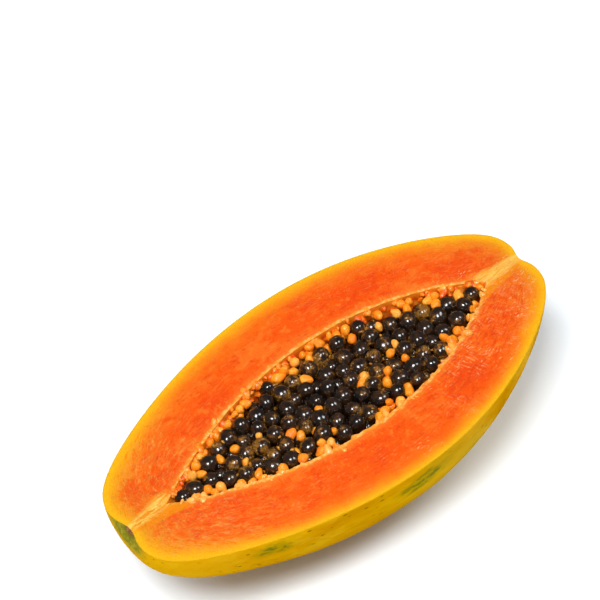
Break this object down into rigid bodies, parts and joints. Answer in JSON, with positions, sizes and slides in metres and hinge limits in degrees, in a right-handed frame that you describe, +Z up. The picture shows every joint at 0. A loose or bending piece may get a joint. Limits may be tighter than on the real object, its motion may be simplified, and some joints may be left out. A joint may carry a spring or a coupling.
{
  "type": "papaya half",
  "caption": "Ripe papaya cut in half lengthwise, lying on its round back with the cut face up: green-mottled yellow skin, orange flesh and an open cavity full of dark seeds.",
  "frame": {"origin": "middle of the flat spot on which the fruit rests, at the bottom centre of its box", "axes": "+X runs from the stalk end to the flower end along the fruit, +Y across it, and +Z is up, out of the cut face"},
  "size_m": [0.2, 0.1058, 0.0573],
  "materials": {
    "flesh": "moist cut flesh, orange-red, semi-gloss",
    "skin": "waxy yellow skin mottled with green, semi-gloss",
    "seed_pulp": "wet pulp and seeds, glossy",
    "ripe_seed": "near-black seed in a clear wet coat, high gloss",
    "pale_seed": "undeveloped orange seed, glossy"
  },
  "bodies": {
    "root": {"pale_seed_01": "pale_seed", "pale_seed_02": "pale_seed", "pale_seed_03": "pale_seed", "pale_seed_04": "pale_seed", "pale_seed_05": "pale_seed", "pale_seed_06": "pale_seed", "pale_seed_07": "pale_seed", "pale_seed_08": "pale_seed", "papaya_half": "flesh", "seed_01": "ripe_seed", "seed_02": "ripe_seed", "seed_03": "ripe_seed", "seed_04": "ripe_seed", "seed_05": "ripe_seed", "seed_06": "ripe_seed", "seed_07": "ripe_seed", "seed_08": "ripe_seed", "seed_09": "ripe_seed", "seed_10": "ripe_seed", "seed_11": "ripe_seed", "seed_12": "ripe_seed", "seed_13": "ripe_seed", "seed_14": "ripe_seed", "seed_15": "ripe_seed", "seed_16": "ripe_seed", "seed_17": "ripe_seed", "seed_18": "ripe_seed", "seed_19": "ripe_seed", "seed_20": "ripe_seed", "seed_21": "ripe_seed", "seed_22": "ripe_seed", "seed_23": "ripe_seed", "seed_24": "ripe_seed", "seed_25": "ripe_seed", "seed_26": "ripe_seed", "seed_27": "ripe_seed", "seed_28": "ripe_seed", "seed_29": "ripe_seed", "seed_30": "ripe_seed", "seed_31": "ripe_seed", "seed_32": "ripe_seed", "seed_33": "ripe_seed", "seed_34": "ripe_seed", "seed_35": "ripe_seed", "seed_36": "ripe_seed", "seed_37": "ripe_seed", "seed_38": "ripe_seed", "seed_39": "ripe_seed", "seed_40": "ripe_seed", "seed_41": "ripe_seed", "seed_42": "ripe_seed", "seed_43": "ripe_seed", "seed_44": "ripe_seed", "seed_45": "ripe_seed", "seed_46": "ripe_seed", "seed_47": "ripe_seed", "seed_48": "ripe_seed", "seed_49": "ripe_seed", "seed_50": "ripe_seed", "seed_bed": "seed_pulp"}
  },
  "joints": []
}
